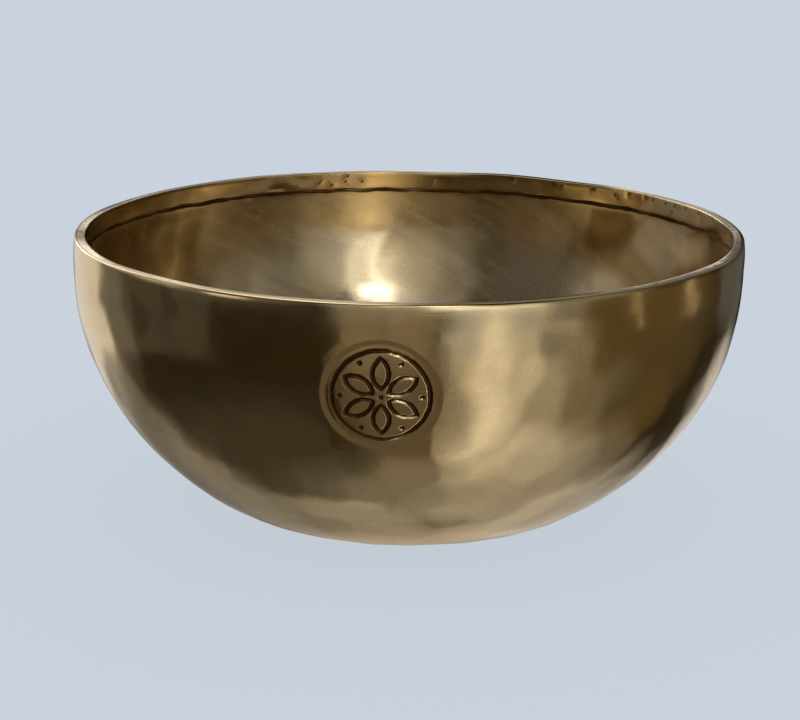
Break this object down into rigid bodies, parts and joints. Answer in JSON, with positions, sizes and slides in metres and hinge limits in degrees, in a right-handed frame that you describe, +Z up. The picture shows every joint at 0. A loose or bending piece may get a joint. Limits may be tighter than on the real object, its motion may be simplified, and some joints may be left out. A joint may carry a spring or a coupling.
{
  "type": "singing bowl",
  "caption": "Deep round-bottomed singing bowl of hammered bronze with a thick flat lip, a groove inside under the lip, a flat base and a round rosette stamp in the wall.",
  "frame": {"origin": "centre of the flat base, on the surface the bowl stands on", "axes": "+Z up along the bowl's axis, out of its mouth; the round stamp is in the wall on the -Y side, turned 4 degrees toward -X"},
  "size_m": [0.2316, 0.2316, 0.098],
  "materials": {
    "bronze": "hand-hammered and polished, with a thin uneven tarnish and dark patina in the groove and stamp"
  },
  "bodies": {
    "root": {"bowl": "bronze"}
  },
  "joints": []
}
